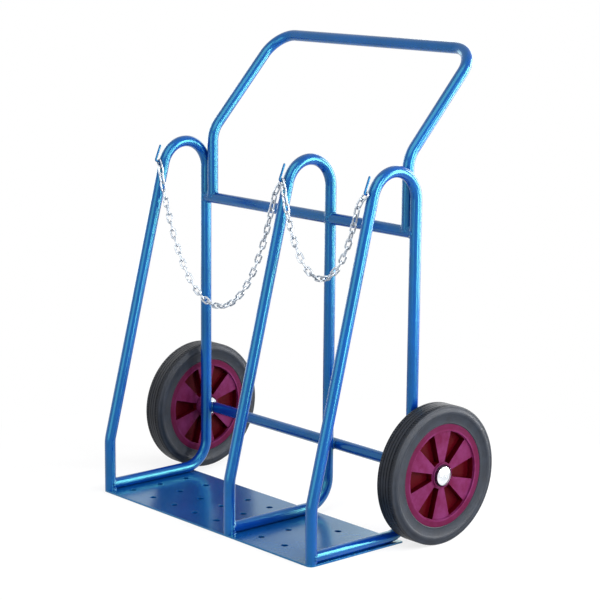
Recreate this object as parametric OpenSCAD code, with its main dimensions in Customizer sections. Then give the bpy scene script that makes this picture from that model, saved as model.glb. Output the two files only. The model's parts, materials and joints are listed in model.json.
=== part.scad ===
// Two-cylinder gas bottle trolley: three bent tube loops on a punched base plate,
// tied together by cross bars, with a push handle, two wheels on a through axle
// and a restraining chain across each bay. Millimetres, Z up, front towards -Y.

/* [Tube] */
// Outside diameter of every frame tube
tube_d = 25; // [22:0.5:30]
// Wall of the frame tubes
tube_wall = 2; // [1.5:0.25:3]
// Centre line radius of the bends, one die for all of them
bend_r = 62.5; // [50:2.5:70]

/* [Frame] */
// Middle loop from the left loop, centre to centre: the wide bay
bay_wide = 432; // [390:2:520]
// Right loop from the middle loop, centre to centre: the narrow bay
bay_narrow = 263; // [230:1:330]
// Rear leg behind the front upright, centre to centre
loop_depth = 281.5; // [240:0.5:330]
// Height of a side loop over the floor
loop_h = 806; // [760:2:900]
// Height of the bend where the front upright starts to lean back
kink_h = 122; // [90:1:170]
// Height of the upper cross bar's centre line
upper_bar_h = 660; // [620:1:690]

/* [Handle] */
// Height of the handle over the floor, the tallest point
handle_h = 1042.5; // [980:2.5:1150]
// Top bar of the handle behind the rear legs, centre to centre
handle_reach = 196.5; // [120:0.5:240]
// Height at which the handle starts to lean back
handle_bend_h = 815; // [780:1:860]

/* [Base plate] */
// Thickness of the base plate
plate_t = 4; // [3:0.5:6]
// Depth of the base plate, front to back
plate_depth = 261; // [230:1:270]
// Diameter of the punched drain holes
hole_d = 15; // [10:1:22]
// Pitch of the punched holes both ways
hole_pitch = 76; // [60:1:90]
// First hole centre from the plate's left and front edges
hole_margin = 50; // [40:1:60]

/* [Wheels] */
// Outside diameter of the tyres
wheel_d = 300; // [260:2:330]
// Width of the tyres
tyre_w = 50; // [44:1:60]
// Inner face of the tyres outside the centre line of the side loop
tyre_in = 24; // [22:0.5:34]
// Diameter of the moulded wheel centre where it meets the tyre's face
rim_d = 222; // [200:2:232]
// Radial width of the outer ring of the wheel centre
rim_ring = 15; // [12:1:20]
// Face of the wheel centre inside the tyre's face
rim_inset = 3; // [2:0.5:6]
// Outside diameter of the hub barrel
hub_d = 54; // [50:1:60]
// Length of the hub
hub_w = 50; // [46:1:60]
// Depth of the round recess in the hub's outer face
hub_recess = 3; // [2:0.5:5]
// Number of deep windows round the wheel centre
windows = 6; // [4:1:8]
// Thickness left at the bottom of the deep windows
web_t = 6; // [4:1:10]
// Depth of the flat wedges between the windows under the ring's face
wedge_drop = 4; // [2:0.5:6]

/* [Axle] */
// Diameter of the axle
axle_d = 20; // [16:0.5:20]
// Wall of the hub bushes
bush_wall = 3; // [2:0.5:5]
// Outside diameter of the plain washers and the end caps
washer_d = 40; // [36:1:44]
// Thickness of the washers
washer_t = 3; // [2:0.5:4]
// Inner hub face outside the centre line of the side loop
hub_offset = 20; // [18:0.5:30]
// Length of axle held inside an end cap
cap_grip = 8; // [6:0.5:12]

/* [Chains] */
// Wire diameter of a chain link
link_wire = 4; // [3:0.25:4.5]
// Inside length of a chain link
link_pitch = 19; // [18:0.25:22]
// Inside width of a chain link
link_gap = 7; // [6.5:0.25:8]
// Links that swing free across the wide bay, an odd number
wide_links = 39; // [35:2:47]
// Links that swing free across the narrow bay, an odd number
narrow_links = 23; // [21:2:29]

/* [Chain hooks] */
// Wire diameter of the hooks
hook_wire = 5; // [4:0.25:5.5]
// Height of the hook foot on the leaning tube
hook_h = 748; // [720:1:755]
// Length of the upstanding finger of a hook
hook_finger = 32; // [20:1:40]

/* [Hidden] */

// Overrun of every cut past the face that it leaves
over = 1;
// Gap under a weld between two fitted tubes
weld_gap = 0.1;
// Gap between parts that turn past one another
side_gap = 0.3;
// Radial running clearance of the hub bushes on the axle
run_clearance = 0.05;
// Loss of wall on each face of a bend, and length of bend inside each straight
bend_thin = 0.1;
bend_lap = 3;
// Play between neighbouring chain links, and of the hook links at tube and hook
link_play = 0.6;
hook_play = 0.4;

tube_r = tube_d / 2;
bore_r = tube_r - tube_wall;
frame_w = bay_wide + bay_narrow;

// The model's origin is on the floor in the middle of its bounding box.
rear_y = loop_depth + handle_reach;
mid_x = frame_w / 2;
mid_y = rear_y / 2;

// Side loop, worked out in its own plane: depth along Y, height along Z.
rail_h = plate_t + tube_r;
arch_y = loop_depth - bend_r;
arch_h = loop_h - tube_r - bend_r;
kink_to_arch = norm([arch_y, arch_h - kink_h]);
// Direction of the leaning tube, measured up from the depth axis
lean = atan2(arch_h - kink_h, arch_y) + asin(bend_r / kink_to_arch);
lean_len = sqrt(pow(kink_to_arch, 2) - pow(bend_r, 2));
kink_turn = 90 - lean;
kink_leg = bend_r * tan(kink_turn / 2);

// Handle, a stub on each side that stands on the upper bar against the rear leg
stub_x = tube_d + weld_gap;
handle_top = handle_h - tube_r;
handle_lean = atan2(handle_reach, handle_top - handle_bend_h);
handle_leg = bend_r * tan(handle_lean / 2);
handle_run = norm([handle_reach, handle_top - handle_bend_h]);

// Wheels and axle, measured outwards from the centre plane of a side loop
axle_y = loop_depth + tube_d + weld_gap;
axle_h = wheel_d / 2;
hub_out = hub_offset + hub_w;
inner_washer_out = hub_offset - side_gap;
axle_tube_out = inner_washer_out - washer_t;
outer_washer_in = hub_out - hub_recess + side_gap;
cap_in = outer_washer_in + washer_t;
axle_out = cap_in + cap_grip;
cap_wall = 3;
cap_edge = 4;
cap_step = 0.5;
bush_r = axle_d / 2 + run_clearance + bush_wall;
rim_r = rim_d / 2;
ring_in_r = rim_r - rim_ring;
rim_w = tyre_w - 2 * rim_inset;
hub_r = hub_d / 2;
// Key round the rim, which the groove inside the tyre locks over
rim_key_w = tyre_w / 3;
rim_key_h = 4;
// Tyre: round of the tread's edges, its grooves, the step of the flat wall behind the
// bulge round it, and the round of that bulge
tread_edge_r = 3;
tread_grooves = 4;
groove_w = 2;
groove_deep = 1.5;
wall_dip = 2;
wall_bulge_r = 11;
// Wheel centre: wall between windows and hub, wall round the hub's recess, and the lip
// that the windows leave inside the ring
hub_rib = 2.4;
hub_rim = 3;
ring_lip = 1;
window_turn = 180 / windows;

// Chain links and the line that they hang in
link_r = (link_gap + link_wire) / 2;
link_half = (link_pitch - link_gap) / 2;
link_step = link_pitch - link_play;
hook_r = hook_wire / 2;
hook_room = 2 * link_wire + 4 * hook_play;
hook_finger_r = tube_r + hook_room + hook_r;
hook_inner_r = 1;
hook_bend_r = hook_r + hook_inner_r;
// Backward lean of the hook's finger over the leaning tube
hook_turn = 98;
// Angles of the first and the second link to the leaning tube, seen from the front
first_link_turn = 43;
second_link_turn = 22;
seat_wide = tube_r + hook_play + link_wire / 2;
seat_narrow = seat_wide + link_wire + hook_play;
// Contact of first and second link, along the first one from the hook wire
hook_drop = link_pitch - hook_r - 1.5 * hook_play;
first_x = hook_drop * sin(first_link_turn);
first_s = hook_drop * cos(first_link_turn);
// Start of the free chain, out from the tube's centre plane and down along the tube
free_x = first_x + link_step * sin(second_link_turn);
free_s = first_s + link_step * cos(second_link_turn);
// Links over which the chain twists from square to diagonal
twist_links = 8;
twist_turn = 45;

// Foot of the hooks on the leaning tube's centre line
hook_foot = [hook_h / tan(lean) - kink_h / tan(lean), hook_h];

// A point out from the leaning tube's axis and down along it, as [depth, height]
function on_lean(out, down) =
    hook_foot + out * [-sin(lean), cos(lean)] - down * [cos(lean), sin(lean)];

// Horizontal reach of n equal links whose slopes rise in even steps of k
function reach(k, n) =
    let (m = (n + 1) / 2)
    link_step * sumv([for (i = [1:n]) 1 / sqrt(1 + pow(k * (i - m), 2))]);
function sumv(v, i = 0) = i < len(v) ? v[i] + sumv(v, i + 1) : 0;
// Slope step at which the links reach across the span, found by halving
function slope_step(span, n, lo = 0, hi = 4, left = 40) =
    let (k = (lo + hi) / 2)
    left == 0 ? k
    : reach(k, n) > span ? slope_step(span, n, k, hi, left - 1)
    : slope_step(span, n, lo, k, left - 1);
// Ends of the links, as [along, down], from the left end of the free chain
function chain_points(span, n) =
    let (k = slope_step(span, n), m = (n + 1) / 2)
    [for (i = 0, p = [0, 0]; i <= n;
          i = i + 1,
          t = k * (i - m),
          p = p + link_step * [1, t] / sqrt(1 + t * t)) p];

$fn = 48;

// Puts the drawing in the model's own frame.
module placed() {
    translate([-mid_x, -mid_y, 0]) children();
}

// Turns a drawing in the XY plane into one in the side plane: x is depth, y is height.
module in_side_plane() {
    rotate(a = 120, v = [1, 1, 1]) children();
}

// Straight round bar in the drawing plane, from a point along a direction
module run(from, turn, len, r) {
    translate([from[0], from[1], 0]) rotate([0, 0, turn]) rotate([0, 90, 0])
        cylinder(h = len, r = r);
}

// Bent round bar in the drawing plane, about a centre, from a direction through a sweep
module bend(centre, turn, sweep, r, line_r) {
    translate([centre[0], centre[1], 0]) rotate([0, 0, min(turn, turn + sweep)])
        rotate_extrude(angle = abs(sweep)) translate([line_r, 0]) circle(r = r);
}

// Straight length of frame tube
module tube_run(from, turn, len) {
    translate([from[0], from[1], 0]) rotate([0, 0, turn]) rotate([0, 90, 0]) difference() {
        cylinder(h = len, r = tube_r);
        translate([0, 0, -over]) cylinder(h = len + 2 * over, r = bore_r);
    }
}

// Bend of frame tube. The wall thins a little in bending, and the bend laps into the
// straight lengths at both ends.
module tube_bend(centre, turn, sweep) {
    lap_turn = asin(bend_lap / bend_r);
    translate([centre[0], centre[1], 0]) rotate([0, 0, min(turn, turn + sweep) - lap_turn])
        rotate_extrude(angle = abs(sweep) + 2 * lap_turn) translate([bend_r, 0]) difference() {
            circle(r = tube_r - bend_thin);
            circle(r = bore_r + bend_thin);
        }
}

// One side loop: a single bent tube whose bottom rail runs forward and is coped
// round its own front upright
module side_loop(x) {
    rear_h = rail_h + bend_r;
    color("royalblue") placed() translate([x, 0, 0]) in_side_plane() {
        tube_run([0, plate_t], 90, kink_h - kink_leg - plate_t);
        tube_bend([bend_r, kink_h - kink_leg], 180, -kink_turn);
        tube_run([kink_leg * cos(lean), kink_h + kink_leg * sin(lean)], lean,
            lean_len - kink_leg);
        tube_bend([arch_y, arch_h], 0, lean + 90);
        tube_run([loop_depth, rear_h], 90, arch_h - rear_h);
        tube_bend([arch_y, rear_h], 270, 90);
        difference() {
            tube_run([0, rail_h], 0, arch_y);
            run([0, 0], 90, rail_h + tube_d, tube_r + weld_gap);
        }
    }
}

// Tube along X, coped round an upright tube at each end
module cross_tube(x0, x1, y, h) {
    translate([x0, y, h]) rotate([0, 90, 0]) difference() {
        cylinder(h = x1 - x0, r = tube_r);
        translate([0, 0, -over]) cylinder(h = x1 - x0 + 2 * over, r = bore_r);
        for (z = [0, x1 - x0]) translate([-tube_d, 0, z]) rotate([0, 90, 0])
            cylinder(h = 2 * tube_d, r = tube_r + weld_gap);
    }
}

module upper_bar(x0, x1) {
    color("royalblue") placed() cross_tube(x0, x1, loop_depth, upper_bar_h);
}

// One leg of the handle, from the upper bar round to the start of the top bar
module handle_leg_tube() {
    turn_h = handle_bend_h - handle_leg;
    translate([stub_x, loop_depth, 0]) {
        in_side_plane() {
            difference() {
                tube_run([0, upper_bar_h], 90, turn_h - upper_bar_h);
                translate([0, upper_bar_h, -tube_d]) cylinder(h = 2 * tube_d, r = tube_r + weld_gap);
            }
            tube_bend([bend_r, turn_h], 180, -handle_lean);
            tube_run([handle_leg * sin(handle_lean), handle_bend_h + handle_leg * cos(handle_lean)],
                90 - handle_lean, handle_run - handle_leg - bend_r);
        }
        translate([0, 0, handle_bend_h]) rotate([90 - handle_lean, 0, 0])
            tube_bend([bend_r, handle_run - bend_r], 180, -90);
    }
}

module handle() {
    color("royalblue") placed() {
        handle_leg_tube();
        translate([frame_w, 0, 0]) mirror([1, 0, 0]) handle_leg_tube();
        translate([stub_x + bend_r, rear_y, handle_top]) rotate([0, 90, 0]) difference() {
            len = frame_w - 2 * (stub_x + bend_r);
            cylinder(h = len, r = tube_r);
            translate([0, 0, -over]) cylinder(h = len + 2 * over, r = bore_r);
        }
    }
}

module base_plate() {
    cols = floor((frame_w + tube_d - 2 * hole_margin) / hole_pitch) + 1;
    rows = floor((plate_depth - 2 * hole_margin) / hole_pitch) + 1;
    color("steelblue") placed() difference() {
        union() {
            // The front corners follow the uprights that stand on them.
            for (x = [0, frame_w]) translate([x, 0, 0]) cylinder(h = plate_t, r = tube_r);
            translate([0, -tube_r, 0]) cube([frame_w, tube_d, plate_t]);
            translate([-tube_r, 0, 0]) cube([frame_w + tube_d, plate_depth - tube_r, plate_t]);
        }
        for (i = [0:cols - 1], j = [0:rows - 1])
            translate([hole_margin - tube_r + i * hole_pitch,
                       hole_margin - tube_r + j * hole_pitch, -over])
                cylinder(h = plate_t + 2 * over, d = hole_d);
    }
}

// Draws a piece that is modelled outwards along +X from the right loop's centre plane,
// on the axle line, at the right or mirrored at the left.
module at_wheel(side) {
    placed() translate([side > 0 ? frame_w : 0, axle_y, axle_h])
        mirror([side > 0 ? 0 : 1, 0, 0]) children();
}

module ring_along(x, len, r_out, r_in) {
    translate([x, 0, 0]) rotate([0, 90, 0]) difference() {
        cylinder(h = len, r = r_out);
        translate([0, 0, -over]) cylinder(h = len + 2 * over, r = r_in);
    }
}

module axle_tube() {
    x0 = -axle_tube_out;
    len = frame_w + 2 * axle_tube_out;
    color("royalblue") placed() translate([0, axle_y, axle_h])
        ring_along(x0, len, tube_r, axle_d / 2 + weld_gap);
}

module axle() {
    color("silver") placed() translate([-axle_out, axle_y, axle_h]) rotate([0, 90, 0])
        cylinder(h = frame_w + 2 * axle_out, d = axle_d);
}

// Solid rubber tyre: flat tread with tight edges and shallow grooves, a bulge round each
// sidewall and a groove inside that locks over the key of the wheel centre
module tyre() {
    r = wheel_d / 2;
    wall_w = tyre_w - 2 * wall_dip;
    edge_x = wall_dip + tread_edge_r;
    bulge_at = r - tread_edge_r - wall_bulge_r;
    rib_pitch = (tyre_w - 2 * edge_x) / (tread_grooves + 1);
    translate([tyre_in, 0, 0]) difference() {
        union() {
            rotate([0, 90, 0]) translate([0, 0, edge_x]) cylinder(h = tyre_w - 2 * edge_x, r = r);
            rotate([0, 90, 0]) translate([0, 0, wall_dip]) cylinder(h = wall_w, r = r - tread_edge_r);
            for (x = [edge_x, tyre_w - edge_x]) translate([x, 0, 0]) rotate([0, 90, 0])
                rotate_extrude() translate([r - tread_edge_r, 0]) circle(r = tread_edge_r);
            for (x = [wall_bulge_r, tyre_w - wall_bulge_r]) translate([x, 0, 0]) rotate([0, 90, 0])
                rotate_extrude() translate([bulge_at, 0]) circle(r = wall_bulge_r);
        }
        for (i = [1:tread_grooves])
            ring_along(edge_x + i * rib_pitch - groove_w / 2, groove_w, r + over, r - groove_deep);
        translate([-over, 0, 0]) rotate([0, 90, 0]) cylinder(h = tyre_w + 2 * over, r = rim_r);
        translate([(tyre_w - rim_key_w) / 2, 0, 0]) rotate([0, 90, 0])
            cylinder(h = rim_key_w, r = rim_r + rim_key_h);
    }
}

// Prism between two radii and within half a turn step of a direction about the axle
module wedge_cut(turn, sweep, r_in, r_out, x, len) {
    reach_r = 2 * r_out;
    half = reach_r * tan(sweep / 2);
    rotate([turn, 0, 0]) intersection() {
        ring_along(x, len, r_out, r_in);
        translate([x - over, 0, 0]) rotate([90, 0, 90]) linear_extrude(len + 2 * over)
            polygon([[0, 0], [reach_r, -half], [reach_r, half]]);
    }
}

// Moulded wheel centre: hub barrel with a recess for the end cap, outer ring and a disc
// whose wedges are by turns deep windows and flats just under the ring's face, the same
// on both faces
module wheel_centre() {
    rim_x0 = tyre_in + rim_inset;
    mid = tyre_in + tyre_w / 2;
    pocket = (rim_w - web_t) / 2;
    difference() {
        union() {
            ring_along(rim_x0, rim_w, rim_r, hub_r - over);
            ring_along(mid - rim_key_w / 2, rim_key_w, rim_r + rim_key_h, rim_r - over);
            ring_along(hub_offset, hub_w, hub_r, bush_r);
        }
        for (x = [rim_x0 - over, rim_x0 + rim_w - wedge_drop])
            ring_along(x, wedge_drop + over, ring_in_r, hub_r);
        ring_along(hub_out - hub_recess, hub_recess + over, hub_r - hub_rim, axle_d / 2);
        for (i = [0:windows - 1], x = [rim_x0 - over, rim_x0 + rim_w - pocket])
            wedge_cut(i * 2 * window_turn, window_turn, hub_r + hub_rib, ring_in_r - ring_lip,
                      x, pocket + over);
    }
}

module hub_bush() {
    ring_along(hub_offset, hub_w - hub_recess, bush_r, axle_d / 2 + run_clearance);
}

module plain_washer(x) {
    ring_along(x, washer_t, washer_d / 2, axle_d / 2 + weld_gap);
}

// Pressed dome cap, pushed on the axle's end
module axle_cap() {
    r = washer_d / 2;
    rise = cap_grip + cap_wall - cap_edge;
    foot_r = r - cap_step;
    dome_r = (foot_r * foot_r + rise * rise) / (2 * rise);
    translate([cap_in, 0, 0]) rotate([0, 90, 0]) difference() {
        union() {
            cylinder(h = cap_edge, r = r);
            translate([0, 0, cap_edge]) rotate_extrude() intersection() {
                translate([0, rise - dome_r]) circle(r = dome_r, $fn = 96);
                square([foot_r + over, rise + over]);
            }
        }
        translate([0, 0, -over]) cylinder(h = cap_grip + over, d = axle_d);
    }
}

// One chain link, long axis along X, lying in the XY plane
module link() {
    for (s = [-1, 1]) translate([-link_half, s * link_r, 0]) rotate([0, 90, 0])
        cylinder(h = 2 * link_half, d = link_wire);
    for (a = [0, 180]) rotate([0, 0, a]) translate([link_half, 0, 0]) rotate([0, 0, -90])
        rotate_extrude(angle = 180) translate([link_r, 0]) circle(d = link_wire);
}

// A link from p to q, both [x, y, z], rolled about its own length
module link_between(p, q, roll) {
    d = q - p;
    flat = norm([d[0], d[1]]);
    translate((p + q) / 2) rotate([0, -atan2(d[2], flat), atan2(d[1], d[0])])
        rotate([roll, 0, 0]) link();
}

// Free chain across a bay: every second link is turned square to the last, and the
// chain twists to the diagonal away from its ends.
module free_chain(x0, span, n, seat) {
    start = on_lean(seat, free_s);
    pts = chain_points(span - 2 * free_x, n);
    for (i = [1:n]) {
        twist = twist_turn * min(i - 1, n - i, twist_links) / twist_links;
        a = pts[i - 1];
        b = pts[i];
        link_between([x0 + free_x + a[0], start[0], start[1] + a[1]],
                     [x0 + free_x + b[0], start[0], start[1] + b[1]], 90 * i + twist);
    }
}

// The two links at one end of a chain: one over the hook, flat on the tube, and one
// square to it. side is 1 where the chain goes off towards +X.
module end_links(x, side, seat) {
    top = hook_drop - link_step;
    translate([x, hook_foot[0], hook_foot[1]]) mirror([side > 0 ? 0 : 1, 0, 0])
        rotate([lean - 90, 0, 0]) {
            link_between([top * sin(first_link_turn), -seat, -top * cos(first_link_turn)],
                         [first_x, -seat, -first_s], 90);
            link_between([first_x, -seat, -first_s], [free_x, -seat, -free_s], 0);
        }
}

module chain_end_links(x0, x1, seat) {
    color("gainsboro") placed() {
        end_links(x0, 1, seat);
        end_links(x1, -1, seat);
    }
}

// Bent wire hook: a foot welded square to the leaning tube and an upstanding finger
module chain_hook(x) {
    bend_out = hook_finger_r - hook_bend_r;
    color("royalblue") placed() translate([x, 0, 0]) in_side_plane()
        translate([hook_foot[0], hook_foot[1], 0]) rotate([0, 0, lean + 90]) difference() {
            union() {
                run([0, 0], 0, bend_out, hook_r);
                bend([bend_out, -hook_bend_r], 90, -hook_turn, hook_r, hook_bend_r);
                translate([bend_out, -hook_bend_r, 0]) rotate([0, 0, 90 - hook_turn])
                    translate([hook_bend_r, 0, 0]) rotate([0, 0, -90]) {
                        run([0, 0], 0, hook_finger, hook_r);
                        translate([hook_finger, 0, 0]) sphere(r = hook_r);
                    }
            }
            rotate([90, 0, 0]) translate([0, 0, -tube_d])
                cylinder(h = 2 * tube_d, r = tube_r + weld_gap);
        }
}

base_plate();
side_loop(0);  // side_loop_left
side_loop(bay_wide);  // side_loop_middle
side_loop(frame_w);  // side_loop_right
upper_bar(0, bay_wide);  // upper_bar_wide
upper_bar(bay_wide, frame_w);  // upper_bar_narrow
handle();
axle_tube();
axle();
chain_hook(0);  // chain_hook_left
chain_hook(bay_wide);  // chain_hook_middle
chain_hook(frame_w);  // chain_hook_right
chain_end_links(0, bay_wide, seat_wide);  // chain_wide_hook_links
chain_end_links(bay_wide, frame_w, seat_narrow);  // chain_narrow_hook_links
color("gainsboro") placed() free_chain(0, bay_wide, wide_links, seat_wide);  // chain_wide
color("gainsboro") placed() free_chain(bay_wide, bay_narrow, narrow_links, seat_narrow);  // chain_narrow
color("dimgray") at_wheel(-1) tyre();  // tyre_left
color("dimgray") at_wheel(1) tyre();  // tyre_right
color("mediumvioletred") at_wheel(-1) wheel_centre();  // wheel_centre_left
color("mediumvioletred") at_wheel(1) wheel_centre();  // wheel_centre_right
color("ivory") at_wheel(-1) hub_bush();  // hub_bush_left
color("ivory") at_wheel(1) hub_bush();  // hub_bush_right
color("silver") at_wheel(-1) plain_washer(axle_tube_out);  // inner_washer_left
color("silver") at_wheel(1) plain_washer(axle_tube_out);  // inner_washer_right
color("silver") at_wheel(-1) plain_washer(outer_washer_in);  // outer_washer_left
color("silver") at_wheel(1) plain_washer(outer_washer_in);  // outer_washer_right
color("whitesmoke") at_wheel(-1) axle_cap();  // axle_cap_left
color("whitesmoke") at_wheel(1) axle_cap();  // axle_cap_right
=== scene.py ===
# %% [markdown]
# # A gas cylinder trolley
#
# This lesson dresses a trolley for two gas cylinders, a large one and a small one side by
# side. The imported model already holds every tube, wheel and chain link at its real size, so
# this script never moves or resizes them. It gives them their finishes, and adds what a
# welder and a moulder leave behind: weld beads, eased edges and small pockets in the tread.

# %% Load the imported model
import json
import math

import bmesh
import bpy
from mathutils import Matrix, Vector


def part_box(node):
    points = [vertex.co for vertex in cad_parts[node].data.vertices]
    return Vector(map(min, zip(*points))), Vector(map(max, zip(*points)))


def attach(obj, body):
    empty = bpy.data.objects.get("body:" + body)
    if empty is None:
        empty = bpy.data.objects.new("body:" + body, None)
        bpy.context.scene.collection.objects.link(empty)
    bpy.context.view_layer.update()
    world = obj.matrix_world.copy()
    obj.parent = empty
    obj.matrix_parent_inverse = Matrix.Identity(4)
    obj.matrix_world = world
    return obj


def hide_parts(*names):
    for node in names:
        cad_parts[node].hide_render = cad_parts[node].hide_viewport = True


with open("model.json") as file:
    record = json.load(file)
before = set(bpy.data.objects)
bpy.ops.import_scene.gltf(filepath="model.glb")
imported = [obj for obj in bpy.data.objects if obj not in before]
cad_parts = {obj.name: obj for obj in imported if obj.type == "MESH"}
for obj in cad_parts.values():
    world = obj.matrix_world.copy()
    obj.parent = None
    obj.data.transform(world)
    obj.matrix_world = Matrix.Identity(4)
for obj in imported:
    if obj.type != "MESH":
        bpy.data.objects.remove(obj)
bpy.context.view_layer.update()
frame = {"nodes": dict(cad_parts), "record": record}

nodes = frame["nodes"]

# %% [markdown]
# ## The camera
#
# The photograph shows the trolley from its front right and a little above, from far away
# with a long lens, so that the loops stay nearly parallel. A camera object looks down its
# own -Z axis. The script builds its three axes from the heading, the pitch and the roll,
# because that keeps the three angles readable, where Euler angles would mix them.

# %% Camera
SENSOR = 36.0
FOCAL_PIXELS = 1992.3
PICTURE_WIDTH = 600
HEADING, PITCH, ROLL = (math.radians(a) for a in (48.64, -11.01, 0.49))
CAMERA_PLACE = Vector((3.25375, -2.83353, 1.31106))

look = Vector((-math.sin(HEADING) * math.cos(PITCH), math.cos(HEADING) * math.cos(PITCH),
               math.sin(PITCH)))
level = Vector((math.cos(HEADING), math.sin(HEADING), 0))
upright = level.cross(look)
across = math.cos(ROLL) * level + math.sin(ROLL) * upright
above = math.cos(ROLL) * upright - math.sin(ROLL) * level

camera = bpy.data.objects.new("camera", bpy.data.cameras.new("camera"))
bpy.context.scene.collection.objects.link(camera)
camera.data.sensor_width = SENSOR
camera.data.lens = FOCAL_PIXELS / PICTURE_WIDTH * SENSOR
stance = Matrix((across, above, -look)).transposed().to_4x4()
camera.matrix_world = Matrix.Translation(CAMERA_PLACE) @ stance
bpy.context.scene.camera = camera
bpy.context.scene.view_settings.view_transform = "Standard"
print("lens:", round(camera.data.lens, 2), "mm")

# %% [markdown]
# ## Colour and nodes
#
# Colours are written as sRGB hex values, the way a screen counts them. Shaders count in
# linear light, so one function turns the hex value into linear numbers. One more small
# function adds a node to a material: it sets the node's properties, fills its inputs with
# numbers or with links, and gives the node back, so that each finish below reads from top to
# bottom.

# %% Helpers for finishes
def shade(hex_colour):
    """Linear RGBA of an sRGB hex colour."""
    parts = [int(hex_colour[i:i + 2], 16) / 255 for i in (1, 3, 5)]
    return [p / 12.92 if p <= 0.04045 else ((p + 0.055) / 1.055) ** 2.4 for p in parts] + [1.0]


def add_node(tree, kind, inputs=None, stops=None, **settings):
    """Adds a node with its settings, its inputs as numbers or links, and a ramp's stops."""
    node = tree.nodes.new(kind)
    for name, value in settings.items():
        setattr(node, name, value)
    for name, value in (inputs or {}).items():
        if isinstance(value, bpy.types.NodeSocket):
            tree.links.new(value, node.inputs[name])
        else:
            node.inputs[name].default_value = value
    for i, (place, colour) in enumerate(stops or []):
        ramp = node.color_ramp.elements
        stop = ramp[i] if i < len(ramp) else ramp.new(place)
        stop.position, stop.color = place, shade(colour)
    return node


def new_finish(name):
    """An empty material, its node tree and its object coordinates in metres."""
    material = bpy.data.materials.new(name)
    material.use_nodes = True
    tree = material.node_tree
    tree.nodes.clear()
    return material, tree, add_node(tree, "ShaderNodeTexCoord").outputs["Object"]


def finish_surface(tree, shader):
    """Links the finished shader to the material's output."""
    add_node(tree, "ShaderNodeOutputMaterial", {"Surface": shader.outputs[0]})


print("mid grey in linear light:", [round(c, 3) for c in shade("#808080")[:3]])

# %% [markdown]
# ## Powder coated tube
#
# The frame is steel tube with a blue polyester powder coat: the powder is sprayed on dry and
# melts in an oven into one thick glossy skin. To the eye that means a deep even blue, a clear
# highlight along each tube, and a faint orange peel in it. A noise of 2.5 mm makes the peel as
# bump, and a slow noise lets the coat run a little lighter and darker. Most of the gloss is the
# shader's own specular layer at full level, tinted cyan, because the highlights in the
# photograph are cyan and not white. The coat layer over it has a small weight and adds a
# little white. The pigment itself is written darker than it looks, since the gloss lightens
# it everywhere.

# %% Powder coat
ORANGE_PEEL = 0.0025
PEEL_HEIGHT = 0.0004
GLINT = "#76fff0"
COAT_DRIFT = 0.09
DUST_GRAIN = 0.0015
SPECK_FROM, SPECK_FULL, SPECK_SHARE = 0.66, 0.78, 0.25
SCUFF_SCALE = 40.0
SCUFF_FROM, SCUFF_FULL = 0.58, 0.72
GLOSSIEST, DULLEST = 0.21, 0.24


def powder_coat(name, deep, mid, light, coat, coat_blur, scuffed, peel_depth):
    """Blue paint: two blues that drift, light specks and scuffs, and an orange peel."""
    material, tree, place = new_finish(name)
    drift = add_node(tree, "ShaderNodeTexNoise",
                     {"Vector": place, "Scale": 1 / COAT_DRIFT, "Detail": 4.0, "Roughness": 0.55})
    tone = add_node(tree, "ShaderNodeValToRGB", {"Fac": drift.outputs["Fac"]},
                    stops=[(0.3, deep), (0.7, mid)])
    grain = add_node(tree, "ShaderNodeTexNoise",
                     {"Vector": place, "Scale": 1 / DUST_GRAIN, "Detail": 2.0})
    speck = add_node(tree, "ShaderNodeMapRange",
                     {"Value": grain.outputs["Fac"], "From Min": SPECK_FROM,
                      "From Max": SPECK_FULL, "To Max": SPECK_SHARE})
    scuff = add_node(tree, "ShaderNodeTexNoise",
                     {"Vector": place, "Scale": SCUFF_SCALE, "Detail": 9.0, "Roughness": 0.75})
    worn = add_node(tree, "ShaderNodeMapRange",
                    {"Value": scuff.outputs["Fac"], "From Min": SCUFF_FROM,
                     "From Max": SCUFF_FULL, "To Max": scuffed})
    mark = add_node(tree, "ShaderNodeMath", {0: speck.outputs[0], 1: worn.outputs[0]},
                    operation="MAXIMUM")
    colour = add_node(tree, "ShaderNodeMix", {0: mark.outputs[0], 6: tone.outputs[0],
                                              7: shade(light)}, data_type="RGBA")
    matt = add_node(tree, "ShaderNodeMapRange",
                    {"Value": scuff.outputs["Fac"], "From Min": 0.3, "From Max": 0.8,
                     "To Min": GLOSSIEST, "To Max": DULLEST})
    peel = add_node(tree, "ShaderNodeTexNoise",
                    {"Vector": place, "Scale": 1 / ORANGE_PEEL, "Detail": 1.0})
    skin = add_node(tree, "ShaderNodeBump",
                    {"Height": peel.outputs["Fac"], "Strength": peel_depth,
                     "Distance": PEEL_HEIGHT})
    finish_surface(tree, add_node(tree, "ShaderNodeBsdfPrincipled", {
        "Base Color": colour.outputs[2], "Roughness": matt.outputs[0], "IOR": 1.5,
        "Specular IOR Level": 1.0, "Specular Tint": shade(GLINT), "Coat Weight": coat,
        "Coat Roughness": coat_blur, "Coat IOR": 1.5, "Normal": skin.outputs[0],
        "Coat Normal": skin.outputs[0]}))
    return material


frame_paint = powder_coat("polyester_powder_coat", "#002474", "#003088", "#2f86d6",
                          coat=0.05, coat_blur=0.15, scuffed=0.04, peel_depth=0.012)
plate_paint = powder_coat("polyester_powder_coat_on_sheet", "#043c7c", "#0a4788", "#3f86bc",
                          coat=0.08, coat_blur=0.14, scuffed=0.04, peel_depth=0.005)
print("finishes:", frame_paint.name, plate_paint.name)

# %% [markdown]
# ## Zinc plated steel
#
# Chain and washers are steel with bright electroplated zinc. It mirrors its surroundings
# softly, a little bluish, and has faint darker clouds where the bath left it thinner. It is a
# full metal, so its colour sits in its reflection, and only the noise in roughness and colour
# tells it from chrome. The caps are plated brighter, and the axle is bare drawn steel, so both
# use the same recipe with other greys.

# %% Zinc and bright steel
CLOUD_DULLS = 0.12
PIT_SCALE, PIT_HEIGHT = 1200.0, 0.0002


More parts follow.
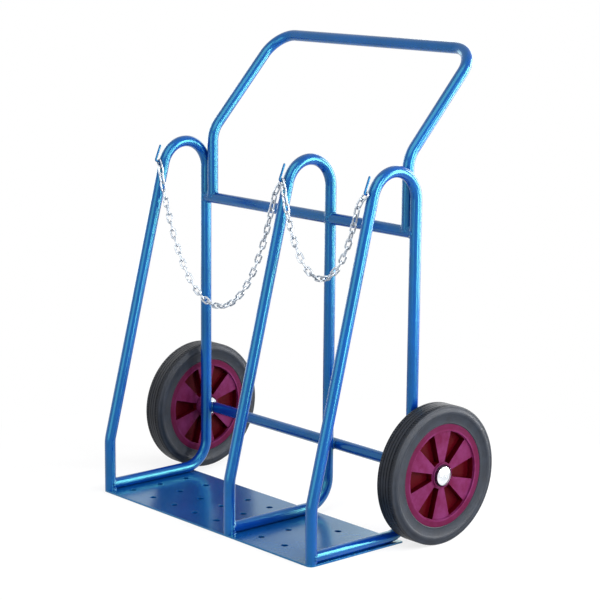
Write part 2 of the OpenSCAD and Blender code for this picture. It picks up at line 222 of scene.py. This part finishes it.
def plated_steel(name, dull, bright, smooth, cloud):
    """Metal with clouds of a given size, from a dull grey to a bright one, and fine pits."""
    material, tree, place = new_finish(name)
    clouds = add_node(tree, "ShaderNodeTexNoise",
                      {"Vector": place, "Scale": 1 / cloud, "Detail": 5.0, "Roughness": 0.6})
    tone = add_node(tree, "ShaderNodeValToRGB", {"Fac": clouds.outputs["Fac"]},
                    stops=[(0.35, dull), (0.65, bright)])
    matt = add_node(tree, "ShaderNodeMapRange",
                    {"Value": clouds.outputs["Fac"], "From Min": 0.3, "From Max": 0.7,
                     "To Min": smooth + CLOUD_DULLS, "To Max": smooth})
    pits = add_node(tree, "ShaderNodeTexNoise",
                    {"Vector": place, "Scale": PIT_SCALE, "Detail": 2.0})
    skin = add_node(tree, "ShaderNodeBump",
                    {"Height": pits.outputs["Fac"], "Strength": 0.15, "Distance": PIT_HEIGHT})
    finish_surface(tree, add_node(tree, "ShaderNodeBsdfPrincipled", {
        "Base Color": tone.outputs[0], "Metallic": 1.0, "Roughness": matt.outputs[0],
        "Normal": skin.outputs[0]}))
    return material


chain_zinc = plated_steel("zinc_plated_wire", "#7d858f", "#d3dae1", smooth=0.22, cloud=0.006)
washer_zinc = plated_steel("zinc_plated_washer_steel", "#a3abb2", "#dfe5ea",
                           smooth=0.2, cloud=0.009)
cap_plated = plated_steel("bright_plated_pressing", "#d6dce2", "#f4f7fa", smooth=0.1, cloud=0.02)
axle_steel = plated_steel("drawn_axle_steel", "#7f868d", "#a9b0b6", smooth=0.3, cloud=0.012)
print("finishes:", chain_zinc.name, washer_zinc.name, cap_plated.name, axle_steel.name)

# %% [markdown]
# ## Where a point lies on its wheel
#
# Rubber and plastic change their look with the distance from the axle and from the wheel's
# middle plane: the tread differs from the sidewall, and a window from the face round it. Both
# distances come from object coordinates, because a wheel's mesh sits at its true place. The
# axle runs along X, so the distance from it is the length of (Y, Z) after the axle's centre
# is taken off.

# %% Distances on a wheel
FULL_TURN = 2 * math.pi
wheel_low, wheel_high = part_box("tyre_right")
AXLE_Y = (wheel_low.y + wheel_high.y) / 2
AXLE_Z = (wheel_low.z + wheel_high.z) / 2
WHEEL_MID = (wheel_low.x + wheel_high.x) / 2
TYRE_RADIUS = (wheel_high.z - wheel_low.z) / 2
TYRE_HALF = (wheel_high.x - wheel_low.x) / 2
print("axle at y", round(AXLE_Y, 4), "z", round(AXLE_Z, 4), "tyre radius", round(TYRE_RADIUS, 4))


def wheel_distances(tree, place):
    """The distance from the axle and the distance from the wheel's middle plane."""
    centred = add_node(tree, "ShaderNodeVectorMath",
                       {0: place, 1: (0, AXLE_Y, AXLE_Z)}, operation="SUBTRACT")
    split = add_node(tree, "ShaderNodeSeparateXYZ", {0: centred.outputs[0]})
    flat = add_node(tree, "ShaderNodeCombineXYZ",
                    {"Y": split.outputs["Y"], "Z": split.outputs["Z"]})
    out = add_node(tree, "ShaderNodeVectorMath", {0: flat.outputs[0]}, operation="LENGTH")
    side = add_node(tree, "ShaderNodeMath", {0: split.outputs["X"]}, operation="ABSOLUTE")
    aside = add_node(tree, "ShaderNodeMath", {0: side.outputs[0], 1: WHEEL_MID},
                     operation="SUBTRACT")
    deep = add_node(tree, "ShaderNodeMath", {0: aside.outputs[0]}, operation="ABSOLUTE")
    return out.outputs["Value"], deep.outputs[0]


# %% [markdown]
# ## Solid rubber
#
# The tyres are black solid rubber, moulded in one piece. Rubber is never quite black to the
# eye: a bluish grey bloom lies on the sidewalls, where nothing rubs it off, and the tread is a
# plainer grey from the dust of the ground. It shines a little, with fine rings from the turned
# mould. The distance from the axle changes one grey into the other, and a wave on the same
# distance makes the mould's rings.

# %% Rubber
MOULD_RING, RING_HEIGHT = 0.0022, 0.12
TREAD_FROM, TREAD_FULL = TYRE_RADIUS - 0.004, TYRE_RADIUS - 0.001
BLOOM_SCALE, GRIT_SCALE = 45.0, 900.0


def solid_rubber():
    """Black rubber with a cloudy bloom, a plainer tread, mould rings and fine grit."""
    material, tree, place = new_finish("moulded_black_rubber")
    out, _ = wheel_distances(tree, place)
    cloud = add_node(tree, "ShaderNodeTexNoise",
                     {"Vector": place, "Scale": BLOOM_SCALE, "Detail": 6.0, "Roughness": 0.65})
    bloom = add_node(tree, "ShaderNodeValToRGB", {"Fac": cloud.outputs["Fac"]},
                     stops=[(0.3, "#0e131c"), (0.7, "#171f2b")])
    tread = add_node(tree, "ShaderNodeValToRGB", {"Fac": cloud.outputs["Fac"]},
                     stops=[(0.3, "#0f1218"), (0.7, "#1c212a")])
    worn = add_node(tree, "ShaderNodeMapRange",
                    {"Value": out, "From Min": TREAD_FROM, "From Max": TREAD_FULL})
    colour = add_node(tree, "ShaderNodeMix",
                      {0: worn.outputs[0], 6: bloom.outputs[0], 7: tread.outputs[0]},
                      data_type="RGBA")
    ring = add_node(tree, "ShaderNodeMath", {0: out, 1: FULL_TURN / MOULD_RING},
                    operation="MULTIPLY")
    wave = add_node(tree, "ShaderNodeMath", {0: ring.outputs[0]}, operation="SINE")
    grit = add_node(tree, "ShaderNodeTexNoise",
                    {"Vector": place, "Scale": GRIT_SCALE, "Detail": 3.0})
    rough_skin = add_node(tree, "ShaderNodeMath",
                          {0: wave.outputs[0], 1: RING_HEIGHT, 2: grit.outputs["Fac"]},
                          operation="MULTIPLY_ADD")
    skin = add_node(tree, "ShaderNodeBump",
                    {"Height": rough_skin.outputs[0], "Strength": 0.35, "Distance": 0.0005})
    matt = add_node(tree, "ShaderNodeMapRange",
                    {"Value": cloud.outputs["Fac"], "To Min": 0.36, "To Max": 0.56})
    finish_surface(tree, add_node(tree, "ShaderNodeBsdfPrincipled", {
        "Base Color": colour.outputs[2], "Roughness": matt.outputs[0], "IOR": 1.5,
        "Specular IOR Level": 0.25, "Normal": skin.outputs[0]}))
    return material


tyre_rubber = solid_rubber()
print("finish:", tyre_rubber.name)

# %% [markdown]
# ## Moulded wheel plastic
#
# The wheel centres are injection moulded polypropylene, pigmented purple red right through.
# The faces come out of the mould dull, with a fine spark-eroded grain, so the shader keeps
# very little gloss. The outer ring is a little redder and darker than the spokes. The hub end
# round the cap is painted darker still, as painted shade under the cap. The deep windows are
# painted nearly black red, as painted shade, because little light finds its way in and the
# pigment swallows the rest. The distance from the wheel's middle plane brings in that painted
# shade, so it stays in the windows from every side.

# %% Polypropylene
# The hub and window distances set where the painted shade begins and where it is full.
HUB_SHADE_FROM, HUB_SHADE_FULL = 0.0255, 0.0235
RING_INNER, RING_BLEND, RING_SHARE = 0.0985, 0.002, 0.7
FACE_OUT, WINDOW_SHADE_FULL = 0.0177, 0.0168
SPARK_GRAIN = 0.0009


def wheel_plastic_finish():
    """Purple red plastic with a redder ring, and painted shade in the windows and round the cap."""
    material, tree, place = new_finish("moulded_polypropylene")
    out, deep = wheel_distances(tree, place)
    cloud = add_node(tree, "ShaderNodeTexNoise",
                     {"Vector": place, "Scale": 30.0, "Detail": 5.0, "Roughness": 0.6})
    face = add_node(tree, "ShaderNodeValToRGB", {"Fac": cloud.outputs["Fac"]},
                    stops=[(0.3, "#4b0729"), (0.7, "#5e214b")])
    # Painted shade: the deep windows turn near black red towards the web, where little light gets
    # in.
    window_painted_shade = add_node(tree, "ShaderNodeMapRange",
                      {"Value": deep, "From Min": FACE_OUT, "From Max": WINDOW_SHADE_FULL})
    outer = add_node(tree, "ShaderNodeMapRange",
                     {"Value": out, "From Min": RING_INNER, "From Max": RING_INNER + RING_BLEND,
                      "To Max": RING_SHARE})
    ringed = add_node(tree, "ShaderNodeMix",
                      {0: outer.outputs[0], 6: face.outputs[0], 7: shade("#440726")},
                      data_type="RGBA")
    dark = add_node(tree, "ShaderNodeMix",
                    {0: window_painted_shade.outputs[0], 6: ringed.outputs[2], 7: shade("#3e0008")},
                    data_type="RGBA")
    # Painted shade: the hub end round the cap is darkened, as the shade under the cap.
    hub_painted_shade = add_node(tree, "ShaderNodeMapRange",
                   {"Value": out, "From Min": HUB_SHADE_FROM, "From Max": HUB_SHADE_FULL})
    colour = add_node(tree, "ShaderNodeMix",
                      {0: hub_painted_shade.outputs[0], 6: dark.outputs[2], 7: shade("#2a0c22")},
                      data_type="RGBA")
    grain = add_node(tree, "ShaderNodeTexNoise",
                     {"Vector": place, "Scale": 1 / SPARK_GRAIN, "Detail": 2.0})
    skin = add_node(tree, "ShaderNodeBump",
                    {"Height": grain.outputs["Fac"], "Strength": 0.25, "Distance": 0.0003})
    matt = add_node(tree, "ShaderNodeMapRange",
                    {"Value": cloud.outputs["Fac"], "To Min": 0.36, "To Max": 0.5})
    finish_surface(tree, add_node(tree, "ShaderNodeBsdfPrincipled", {
        "Base Color": colour.outputs[2], "Roughness": matt.outputs[0], "IOR": 1.49,
        "Specular IOR Level": 0.05, "Normal": skin.outputs[0]}))
    return material


wheel_plastic = wheel_plastic_finish()
print("finish:", wheel_plastic.name)


# %% [markdown]
# ## Hub bush
#
# The bushes that turn on the axle are natural polyamide, a slightly waxy off-white plastic
# that runs on steel without grease.

# %% Polyamide
def natural_polyamide():
    """Off-white plastic with faint clouds and a waxy surface."""
    material, tree, place = new_finish("natural_polyamide")
    cloud = add_node(tree, "ShaderNodeTexNoise", {"Vector": place, "Scale": 120.0, "Detail": 4.0})
    tone = add_node(tree, "ShaderNodeValToRGB", {"Fac": cloud.outputs["Fac"]},
                    stops=[(0.3, "#c8c1ae"), (0.7, "#ddd8ca")])
    skin = add_node(tree, "ShaderNodeBump",
                    {"Height": cloud.outputs["Fac"], "Strength": 0.1, "Distance": 0.0003})
    finish_surface(tree, add_node(tree, "ShaderNodeBsdfPrincipled", {
        "Base Color": tone.outputs[0], "Roughness": 0.4, "IOR": 1.53,
        "Normal": skin.outputs[0]}))
    return material


bush_plastic = natural_polyamide()

# %% [markdown]
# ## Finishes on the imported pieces
#
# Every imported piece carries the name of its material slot, so a table from slot name to finish
# dresses all of them in one loop.

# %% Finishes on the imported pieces
finish_of_slot = {
    "frame_paint": frame_paint, "plate_paint": plate_paint, "axle_steel": axle_steel,
    "chain_zinc": chain_zinc, "washer_zinc": washer_zinc, "cap_plated": cap_plated,
    "tyre_rubber": tyre_rubber, "wheel_plastic": wheel_plastic, "bush_plastic": bush_plastic,
}
for part in frame["record"]["subparts"]:
    for material_slot in nodes[part["node"]].material_slots:
        material_slot.material = finish_of_slot[part["material_slot"]]

# %% [markdown]
# ## Weld beads
#
# The tubes of the frame are joined by fillet welds under the paint: rings of overlapping
# puddles. A bead is made as a small circle that is spun about the joint, which gives a ring,
# and the ring is then laid on the tube that it lands on. Where two tubes meet, the landing
# surface falls away to both sides, so each point of the ring drops by as much as that tube's
# round surface does. The small waves along the ring are the puddles. The chain hooks get no
# bead, because a link lies close beside each hook's foot.

# %% Weld bead helper
CREASE = math.radians(38)
TUBE_RADIUS = (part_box("upper_bar_wide")[1].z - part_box("upper_bar_wide")[0].z) / 2
PUDDLE, PUDDLE_SWELL = 0.0035, 0.12
BEAD_SIDES = 10
BEAD_REACH = 0.99
FEWEST_PUDDLES, FEWEST_STEPS, STEPS_PER_PUDDLE = 4, 8, 4
SAME_POINT = 1e-6


def fall(distance):
    """How far a frame tube's surface has fallen at a distance beside its top line. A bead stops
    just short of the tube's middle, where the bead of the other side ends too."""
    inside = min(abs(distance), BEAD_REACH * TUBE_RADIUS)
    return TUBE_RADIUS - math.sqrt(TUBE_RADIUS * TUBE_RADIUS - inside * inside)


def lay_bead(mesh, ring, bead, place, landing, start=0.0, sweep=FULL_TURN):
    """Adds one bead ring to a mesh. place turns its own axes into the trolley's: Z points
    away from the tube that it lands on, and landing(x, y) is that surface's height."""
    one = bmesh.new()
    bmesh.ops.create_circle(one, segments=BEAD_SIDES, radius=bead,
                            matrix=Matrix.Translation((ring, 0, 0))
                            @ Matrix.Rotation(math.pi / 2, 4, "X"))
    closed = sweep >= FULL_TURN
    if not closed:
        bmesh.ops.holes_fill(one, edges=one.edges[:], sides=BEAD_SIDES)
    bmesh.ops.rotate(one, verts=one.verts[:], cent=(0, 0, 0),
                     matrix=Matrix.Rotation(start, 3, "Z"))
    steps = max(FEWEST_STEPS, round(ring * sweep / PUDDLE) * STEPS_PER_PUDDLE)
    waves = max(FEWEST_PUDDLES, round(FULL_TURN * ring / PUDDLE))
    bmesh.ops.spin(one, geom=one.verts[:] + one.edges[:] + one.faces[:], cent=(0, 0, 0),
                   axis=(0, 0, 1), angle=sweep, steps=steps, use_merge=closed,
                   use_duplicate=False)
    for v in one.verts:
        turn = math.atan2(v.co.y, v.co.x)
        flat = math.hypot(v.co.x, v.co.y)
        swell = 1 + PUDDLE_SWELL * math.sin(turn * waves)
        out = ring + (flat - ring) * swell
        x, y = out * math.cos(turn), out * math.sin(turn)
        v.co = (x, y, v.co.z * swell + landing(x, y))
    bmesh.ops.remove_doubles(one, verts=one.verts[:], dist=SAME_POINT)
    bmesh.ops.recalc_face_normals(one, faces=one.faces[:])
    bmesh.ops.transform(one, matrix=place, verts=one.verts[:])
    loose = bpy.data.meshes.new("bead")
    one.to_mesh(loose)
    one.free()
    mesh.from_mesh(loose)
    bpy.data.meshes.remove(loose)


def axes(x, y, z, origin):
    """Matrix that carries a piece's own axes to the given directions at an origin."""
    return Matrix.Translation(origin) @ Matrix((x, y, z)).transposed().to_4x4()


def new_piece(name, mesh, material, body, crease=CREASE, flat=()):
    """Makes an object of a finished bmesh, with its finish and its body. Edges that
    turn by more than the crease angle stay sharp, and so do the flat faces' edges."""
    for edge in mesh.edges:
        edge.smooth = edge.calc_face_angle(0.0) < crease
    for face in mesh.faces:
        face.smooth = face not in flat
    data = bpy.data.meshes.new(name)
    mesh.to_mesh(data)
    mesh.free()
    data.materials.append(material)
    piece = bpy.data.objects.new(name, data)
    bpy.context.scene.collection.objects.link(piece)
    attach(piece, body)
    print(name, "faces:", len(data.polygons))
    return piece


X, Y, Z = Vector((1, 0, 0)), Vector((0, 1, 0)), Vector((0, 0, 1))
LEG_X = [(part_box(n)[0].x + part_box(n)[1].x) / 2
         for n in ("side_loop_left", "side_loop_middle", "side_loop_right")]
FRONT_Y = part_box("side_loop_left")[0].y + TUBE_RADIUS
REAR_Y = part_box("side_loop_left")[1].y - TUBE_RADIUS
PLATE_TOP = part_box("base_plate")[1].z
RAIL_Z = PLATE_TOP + TUBE_RADIUS
BAR_Z = (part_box("upper_bar_wide")[0].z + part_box("upper_bar_wide")[1].z) / 2
print("legs at x", [round(x, 4) for x in LEG_X])
print("front y", round(FRONT_Y, 4), "rear y", round(REAR_Y, 4))

# %% [markdown]
# The beads at the cross bars, the handle's feet and the rails all land on a tube of the same
# size as the one that ends there, so they share one bead size and one landing surface.

# %% Beads where a tube ends on a tube
TUBE_BEAD = 0.0024


def on_equal_tube(x, y):
    """Height of a frame tube that runs along the bead's own Y axis."""
    return -fall(x)


bars = bmesh.new()
for left, right in zip(LEG_X, LEG_X[1:]):
    lay_bead(bars, TUBE_RADIUS, TUBE_BEAD,
             axes(Y, Z, X, (left + TUBE_RADIUS, REAR_Y, BAR_Z)), on_equal_tube)
    lay_bead(bars, TUBE_RADIUS, TUBE_BEAD,
             axes(-Y, Z, -X, (right - TUBE_RADIUS, REAR_Y, BAR_Z)), on_equal_tube)
new_piece("weld_beads_upper_bars", bars, frame_paint, "frame")

handle_low, handle_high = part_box("handle")
feet = bmesh.new()
for x in (handle_low.x + TUBE_RADIUS, handle_high.x - TUBE_RADIUS):
    lay_bead(feet, TUBE_RADIUS, TUBE_BEAD,
             axes(-Y, X, Z, (x, REAR_Y, BAR_Z + TUBE_RADIUS)), on_equal_tube)
new_piece("weld_beads_handle", feet, frame_paint, "frame")

rails = bmesh.new()
for x in LEG_X:
    lay_bead(rails, TUBE_RADIUS, TUBE_BEAD,
             axes(-X, Z, Y, (x, FRONT_Y + TUBE_RADIUS, RAIL_Z)), on_equal_tube)
new_piece("weld_beads_rails", rails, frame_paint, "frame")

# %% [markdown]
# The front uprights stand on the plate's front edge, so their beads run only where there is
# plate beside them: a quarter ring inside each corner, and half a ring behind the middle one.

# %% Beads at the feet
QUARTER = math.pi / 2


def on_plate(x, y):
    """The plate is level."""
    return 0.0


foot_beads = bmesh.new()
for x, start, sweep in zip(LEG_X, (0, 0, QUARTER), (QUARTER, 2 * QUARTER, QUARTER)):
    lay_bead(foot_beads, TUBE_RADIUS, TUBE_BEAD, axes(X, Y, Z, (x, FRONT_Y, PLATE_TOP)),
             on_plate, start, sweep)
new_piece("weld_beads_feet", foot_beads, frame_paint, "frame")

# %% [markdown]
# The axle tube crosses behind the rear legs and comes nearest to each of them at one point.
# The gap between the two round surfaces is nearly the same all round a small circle about
# that point, so a ring bead fills it. The ring is laid halfway between the leg, which falls
# away sideways, and the axle tube, which falls away up and down.

# %% Beads at the axle tube
AXLE_BEAD_RING = 0.0085
AXLE_BEAD = 0.0027


def between_crossed_tubes(x, y):
    """Halfway between the leg's surface and the axle tube's surface."""
    return (fall(y) - fall(x)) / 2


crossings = bmesh.new()
for x in LEG_X:
    lay_bead(crossings, AXLE_BEAD_RING, AXLE_BEAD,
             axes(X, -Z, Y, (x, REAR_Y + TUBE_RADIUS, AXLE_Z)), between_crossed_tubes)
new_piece("weld_beads_axle_tube", crossings, frame_paint, "frame")

# %% [markdown]
# ## Tyres
#
# A solid tyre is one moulding with a round form, so its outline is drawn once as a chain of
# points beside the axle and spun full circle. The tread is flat with tight edges and shallow
# grooves, the sidewall bulges just under it, and inside is the groove that locks on the
# wheel. Each of the two outer ribs carries a row of small pockets, which are pressed in
# afterwards by insetting every second face of those ribs. The ribs are found by their height,
# their side and the size of their faces, which are larger than those of grooves and edges.

# %% Tyre outline
MM = 0.001
SEAT_GAP = 0.15 * MM
RIM_RADIUS, KEY_RADIUS, KEY_HALF = 111 * MM + SEAT_GAP, 115 * MM + SEAT_GAP, 8.4 * MM
WALL_HALF, EDGE_RADIUS, BULGE_RADIUS = TYRE_HALF - 2 * MM, 3 * MM, 11 * MM
GROOVES, GROOVE_HALF, GROOVE_DEPTH = 4, 1 * MM, 1.5 * MM
POCKETS, POCKET_RIM, POCKET_DEPTH = 144, 0.5 * MM, 1.1 * MM
RIB_TOP_LAYER, RIB_FACE_AREA = 0.2 * MM, 1e-5


def arc(centre, radius, start, stop, steps):
    """Points on an arc of the outline, from one angle to another in degrees."""
    turns = [math.radians(start + (stop - start) * i / steps) for i in range(steps + 1)]
    return [(centre[0] + radius * math.cos(t), centre[1] + radius * math.sin(t)) for t in turns]


def tyre_outline():
    """Half of the outline, from the seat's middle round to the tread's middle, as (across, out)."""
    flat_half = WALL_HALF - EDGE_RADIUS
    bulge = (TYRE_HALF - BULGE_RADIUS, TYRE_RADIUS - EDGE_RADIUS - BULGE_RADIUS)
    swing = math.degrees(math.acos((WALL_HALF - bulge[0]) / BULGE_RADIUS))
    points = [(KEY_HALF, KEY_RADIUS), (KEY_HALF, RIM_RADIUS), (WALL_HALF - MM, RIM_RADIUS),
              (WALL_HALF, RIM_RADIUS + MM)]
    points += arc(bulge, BULGE_RADIUS, -swing, swing, steps=8)
    points += arc((flat_half, TYRE_RADIUS - EDGE_RADIUS), EDGE_RADIUS, 0, 90, steps=5)
    pitch = 2 * flat_half / (GROOVES + 1)
    for i in range(GROOVES // 2, 0, -1):
        middle = (i - 0.5) * pitch
        points += [(middle + GROOVE_HALF, TYRE_RADIUS),
                   (middle + GROOVE_HALF / 2, TYRE_RADIUS - GROOVE_DEPTH),
                   (middle - GROOVE_HALF / 2, TYRE_RADIUS - GROOVE_DEPTH),
                   (middle - GROOVE_HALF, TYRE_RADIUS)]
    return points


def tyre(name, side, body):
    """Spins the outline about the axle, presses the pockets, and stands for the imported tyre."""
    half = tyre_outline()
    ring = half + [(-across, out) for across, out in reversed(half)]
    mesh = bmesh.new()
    corners = [mesh.verts.new((side * WHEEL_MID + across, AXLE_Y, AXLE_Z + out))
               for across, out in ring]
    for a, b in zip(corners, corners[1:] + corners[:1]):
        mesh.edges.new((a, b))
    bmesh.ops.spin(mesh, geom=mesh.verts[:] + mesh.edges[:], cent=(0, AXLE_Y, AXLE_Z),
                   axis=(1, 0, 0), angle=FULL_TURN, steps=2 * POCKETS, use_merge=True,
                   use_duplicate=False)
    bmesh.ops.remove_doubles(mesh, verts=mesh.verts[:], dist=SAME_POINT)
    bmesh.ops.recalc_face_normals(mesh, faces=mesh.faces[:])
    rib = []
    for face in mesh.faces:
        middle = face.calc_center_median()
        out = math.hypot(middle.y - AXLE_Y, middle.z - AXLE_Z)
        across = abs(middle.x - side * WHEEL_MID)
        step = math.floor(math.atan2(middle.z - AXLE_Z, middle.y - AXLE_Y) / math.pi * POCKETS)
        on_rib = out > TYRE_RADIUS - RIB_TOP_LAYER and across > WALL_HALF / 2
        if on_rib and face.calc_area() > RIB_FACE_AREA and step % 2 == 0:
            rib.append(face)
    bmesh.ops.inset_individual(mesh, faces=rib, thickness=POCKET_RIM, depth=-POCKET_DEPTH)
    print("pockets:", len(rib))
    piece = new_piece(name, mesh, tyre_rubber, body)
    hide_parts(name.replace("rubber_", ""))


tyre("rubber_tyre_left", -1, "wheel_left")
tyre("rubber_tyre_right", 1, "wheel_right")

# %% [markdown]
# ## Eased edges
#
# No moulded or punched edge is knife sharp, and the small round on it is what catches the
# light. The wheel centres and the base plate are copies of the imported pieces: the copy is
# merged, its flat regions become single faces, and a bevel rounds every edge that turns
# sharply. Smooth shading would bend the light across a large flat face, so those faces stay
# flat shaded. They are marked before the bevel with a material index of 1, which goes back
# to 0 afterwards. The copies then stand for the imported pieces, which stay as they are.

# %% Eased copies
SHARP_TURN, LEVEL_TURN, EASED_CREASE = (math.radians(a) for a in (40, 1, 60))
SAME_PLANE = math.radians(0.5)
EDGE_ROUND, ROUND_STEPS = 0.8 * MM, 2


def eased_copy(node, body, slot):
    """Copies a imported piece, rounds its sharp edges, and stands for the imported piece."""
    mesh = bmesh.new()
    mesh.from_mesh(nodes[node].data)
    bmesh.ops.remove_doubles(mesh, verts=mesh.verts[:], dist=2 * SAME_POINT)
    bmesh.ops.dissolve_limit(mesh, angle_limit=SAME_PLANE, verts=mesh.verts[:],
                             edges=mesh.edges[:])
    sharp = [e for e in mesh.edges if e.is_manifold and e.calc_face_angle(0.0) > SHARP_TURN]
    for face in mesh.faces:
        turns = [e.calc_face_angle(0.0) for e in face.edges]
        face.material_index = int(all(t < LEVEL_TURN or t > SHARP_TURN for t in turns))
    rounds = set(bmesh.ops.bevel(mesh, geom=sharp, offset=EDGE_ROUND, offset_type="OFFSET",
                                 segments=ROUND_STEPS, profile=0.5, affect="EDGES",
                                 material=-1, clamp_overlap=True)["faces"])
    flat = {f for f in mesh.faces if f.material_index == 1 and f not in rounds}
    for face in mesh.faces:
        face.material_index = 0
    print(node, "sharp edges:", len(sharp), "flat faces:", len(flat))
    piece = new_piece(node + "_eased", mesh, finish_of_slot[slot], body, EASED_CREASE, flat)
    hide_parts(node)


eased_copy("wheel_centre_left", "wheel_left", "wheel_plastic")
eased_copy("wheel_centre_right", "wheel_right", "wheel_plastic")
eased_copy("base_plate", "frame", "plate_paint")

# %% [markdown]
# ## Floor, world and lamps
#
# The studio is plain: a white floor, a white surround and soft lamps. The floor
# and the world look white to the camera and to reflections through the Light Path node, so
# the light that falls on the trolley can be set apart from the white that is seen behind it.
# The floor mixes that white with an ordinary white surface, which keeps a soft shadow. Under
# the base plate the floor is painted a dark blue shade in place of the white, because no light
# gets in there, and the punched holes look dark. Three tall strip lamps stand in an arc from
# the right towards the back, for the long highlights on the tubes.

# %% Floor
FLOOR_SIZE = 12.0
CLEAR_RADIUS, FADE_RADIUS = 0.55, 1.0
EDGE_LIGHT = 0.006
SHADOW_SHARE = 0.24


def studio_white(tree):
    """1 for rays from the camera, from gloss and through glass, otherwise 0."""
    path = add_node(tree, "ShaderNodeLightPath")
    seen = add_node(tree, "ShaderNodeMath",
                    {0: path.outputs["Is Camera Ray"], 1: path.outputs["Is Glossy Ray"]},
                    operation="MAXIMUM")
    return add_node(tree, "ShaderNodeMath",
                    {0: seen.outputs[0], 1: path.outputs["Is Transmission Ray"]},
                    operation="MAXIMUM").outputs[0]


def floor_finish():
    """White floor with a soft shadow near the trolley, and painted dark blue shade under its plate.
    """
    material, tree, place = new_finish("studio_floor")
    away = add_node(tree, "ShaderNodeVectorMath", {0: place}, operation="LENGTH")
    fade = add_node(tree, "ShaderNodeMapRange",
                    {"Value": away.outputs["Value"], "From Min": CLEAR_RADIUS,
                     "From Max": FADE_RADIUS, "To Min": 1 - SHADOW_SHARE, "To Max": 1.0})
    # The plate's footprint, where the floor gets painted shade and none of the white.
    plate_low, plate_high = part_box("base_plate")
    split = add_node(tree, "ShaderNodeSeparateXYZ", {0: place})
    beside = [add_node(tree, "ShaderNodeMath",
                       {0: split.outputs[i], 1: (plate_low[i] + plate_high[i]) / 2,
                        2: (plate_high[i] - plate_low[i]) / 2 - EDGE_LIGHT},
                       operation="COMPARE").outputs[0] for i in (0, 1)]
    plate_shade_mask = add_node(tree, "ShaderNodeMath", {0: beside[0], 1: beside[1]}, operation="MULTIPLY")
    open_floor = add_node(tree, "ShaderNodeMath", {0: 1.0, 1: plate_shade_mask.outputs[0]},
                          operation="SUBTRACT")
    open_white = add_node(tree, "ShaderNodeMath",
                          {0: open_floor.outputs[0], 1: studio_white(tree)},
                          operation="MULTIPLY")
    share = add_node(tree, "ShaderNodeMath", {0: fade.outputs[0], 1: open_white.outputs[0]},
                     operation="MULTIPLY")
    # Painted shade: under the plate the floor's colour is a dark blue.
    tone = add_node(tree, "ShaderNodeMix", {0: plate_shade_mask.outputs[0], 6: shade("#fafafa"),
                                            7: shade("#0c2440")}, data_type="RGBA")
    lit = add_node(tree, "ShaderNodeBsdfDiffuse", {"Color": tone.outputs[2]})
    white = add_node(tree, "ShaderNodeEmission", {"Color": (1, 1, 1, 1), "Strength": 1.0})
    finish_surface(tree, add_node(tree, "ShaderNodeMixShader",
                                  {0: share.outputs[0], 1: lit.outputs[0], 2: white.outputs[0]}))
    return material


ground = bmesh.new()
bmesh.ops.create_grid(ground, x_segments=1, y_segments=1, size=FLOOR_SIZE)
floor_mesh = bpy.data.meshes.new("floor")
ground.to_mesh(floor_mesh)
ground.free()
floor_mesh.materials.append(floor_finish())
floor = bpy.data.objects.new("floor", floor_mesh)
bpy.context.scene.collection.objects.link(floor)

# %% World
AMBIENT = 0.32
world = bpy.data.worlds.new("studio")
world.use_nodes = True
bpy.context.scene.world = world
sky = world.node_tree
sky.nodes.clear()
strength = add_node(sky, "ShaderNodeMapRange",
                    {"Value": studio_white(sky), "To Min": AMBIENT, "To Max": 1.0})
surround = add_node(sky, "ShaderNodeBackground", {"Color": (1, 1, 1, 1),
                                                  "Strength": strength.outputs[0]})
add_node(sky, "ShaderNodeOutputWorld", {"Surface": surround.outputs[0]})

# %% Lamps
AIM = Vector((0, 0, 0.45))
STRIP_REACH, STRIP_HEIGHT = 2.5, 0.88
STRIP_ANGLES = (6, 38, 70)
STRIP_WIDTH, STRIP_LENGTH, STRIP_POWER = 0.6, 1.7, 50


def soft_lamp(name, place, width, height, power):
    """A large area lamp that looks at the trolley."""
    data = bpy.data.lights.new(name, "AREA")
    data.shape, data.size, data.size_y, data.energy = "RECTANGLE", width, height, power
    lamp = bpy.data.objects.new(name, data)
    bpy.context.scene.collection.objects.link(lamp)
    lamp.location = place
    lamp.rotation_euler = (AIM - Vector(place)).to_track_quat("-Z", "Y").to_euler()


for angle in STRIP_ANGLES:
    turn = math.radians(angle)
    place = (STRIP_REACH * math.cos(turn), STRIP_REACH * math.sin(turn), STRIP_HEIGHT)
    soft_lamp(f"strip_lamp_{angle}", place, STRIP_WIDTH, STRIP_LENGTH, STRIP_POWER)
soft_lamp("top_lamp", (0.8, -1.6, 3.1), width=2.6, height=2.6, power=58)
soft_lamp("front_lamp", (0.3, -3.2, 0.9), width=2.4, height=2.0, power=34)
soft_lamp("rear_lamp", (-1.4, 3.2, 1.5), width=2.4, height=2.0, power=36)
soft_lamp("left_lamp", (-3.0, 0.3, 0.9), width=1.8, height=1.8, power=30)
